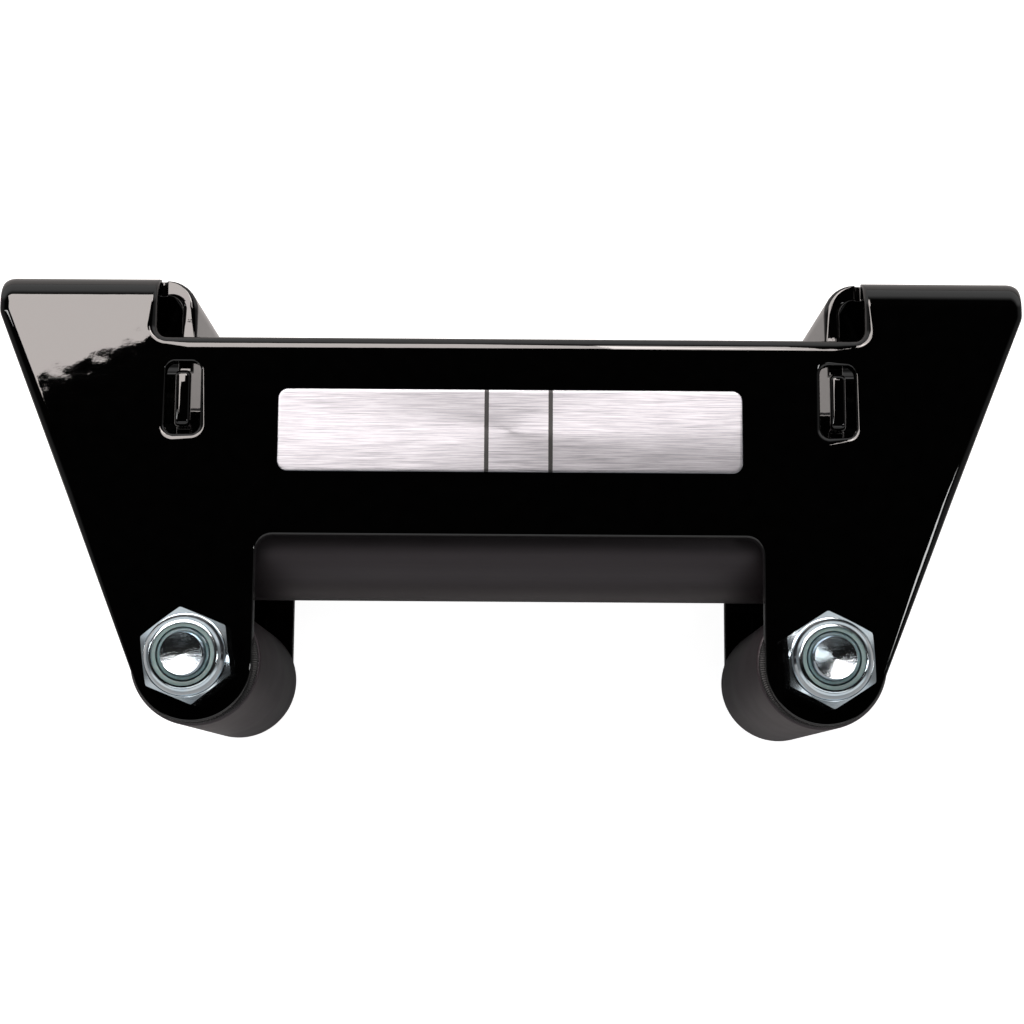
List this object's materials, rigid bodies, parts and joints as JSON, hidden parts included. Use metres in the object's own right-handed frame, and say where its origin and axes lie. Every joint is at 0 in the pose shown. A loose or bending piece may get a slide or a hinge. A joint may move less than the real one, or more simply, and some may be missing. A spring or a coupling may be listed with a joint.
{
  "type": "roller fairlead",
  "caption": "Bent sheet-metal winch fairlead whose channel frame carries upright rollers on lock-nutted bolts and level rollers on clipped pins between bent-out flaps.",
  "frame": {"origin": "middle of the box's bottom, in the plane of the bolt heads' undersides", "axes": "+Z along the upright rollers towards the lock nuts; +Y out of the mounting face, away from the rope; +X along the level rollers"},
  "size_m": [0.302, 0.1328, 0.1412],
  "materials": {
    "powder_coat": "gloss black powder coat",
    "roller_coat": "satin black",
    "bushing_plastic": "moulded black acetal",
    "bright_zinc": "bright zinc plate",
    "nut_nylon": "plain nylon",
    "plain_steel": "plain steel",
    "label_metal": "brushed"
  },
  "bodies": {
    "root": {"frame": "powder_coat", "label_plate": "label_metal", "bolt_left": "bright_zinc", "bolt_right": "bright_zinc", "lock_nut_left": "bright_zinc", "lock_nut_right": "bright_zinc", "lock_nut_left_insert": "nut_nylon", "lock_nut_right_insert": "nut_nylon", "pin_upper": "plain_steel", "pin_lower": "plain_steel", "clip_upper_left": "plain_steel", "clip_upper_right": "plain_steel", "clip_lower_left": "plain_steel", "clip_lower_right": "plain_steel"},
    "left_upright": {"upright_roller_left": "roller_coat", "upright_roller_left_bushing_a": "bushing_plastic", "upright_roller_left_bushing_b": "bushing_plastic"},
    "right_upright": {"upright_roller_right": "roller_coat", "upright_roller_right_bushing_a": "bushing_plastic", "upright_roller_right_bushing_b": "bushing_plastic"},
    "upper_level": {"level_roller_upper": "roller_coat", "level_roller_upper_bushing_a": "bushing_plastic", "level_roller_upper_bushing_b": "bushing_plastic"},
    "lower_level": {"level_roller_lower": "roller_coat", "level_roller_lower_bushing_a": "bushing_plastic", "level_roller_lower_bushing_b": "bushing_plastic"}
  },
  "joints": [
    {"name": "left_upright_spin", "type": "hinge", "parent": "root", "child": "left_upright", "pos_m": [-0.091, -0.04738, 0.0663], "axis": [0, 0, 1], "continuous": true},
    {"name": "right_upright_spin", "type": "hinge", "parent": "root", "child": "right_upright", "pos_m": [0.091, -0.04738, 0.0663], "axis": [0, 0, 1], "continuous": true},
    {"name": "upper_level_spin", "type": "hinge", "parent": "root", "child": "upper_level", "pos_m": [0, -0.00877, 0.09675], "axis": [1, 0, 0], "continuous": true},
    {"name": "lower_level_spin", "type": "hinge", "parent": "root", "child": "lower_level", "pos_m": [0, -0.00137, 0.03585], "axis": [1, 0, 0], "continuous": true}
  ]
}
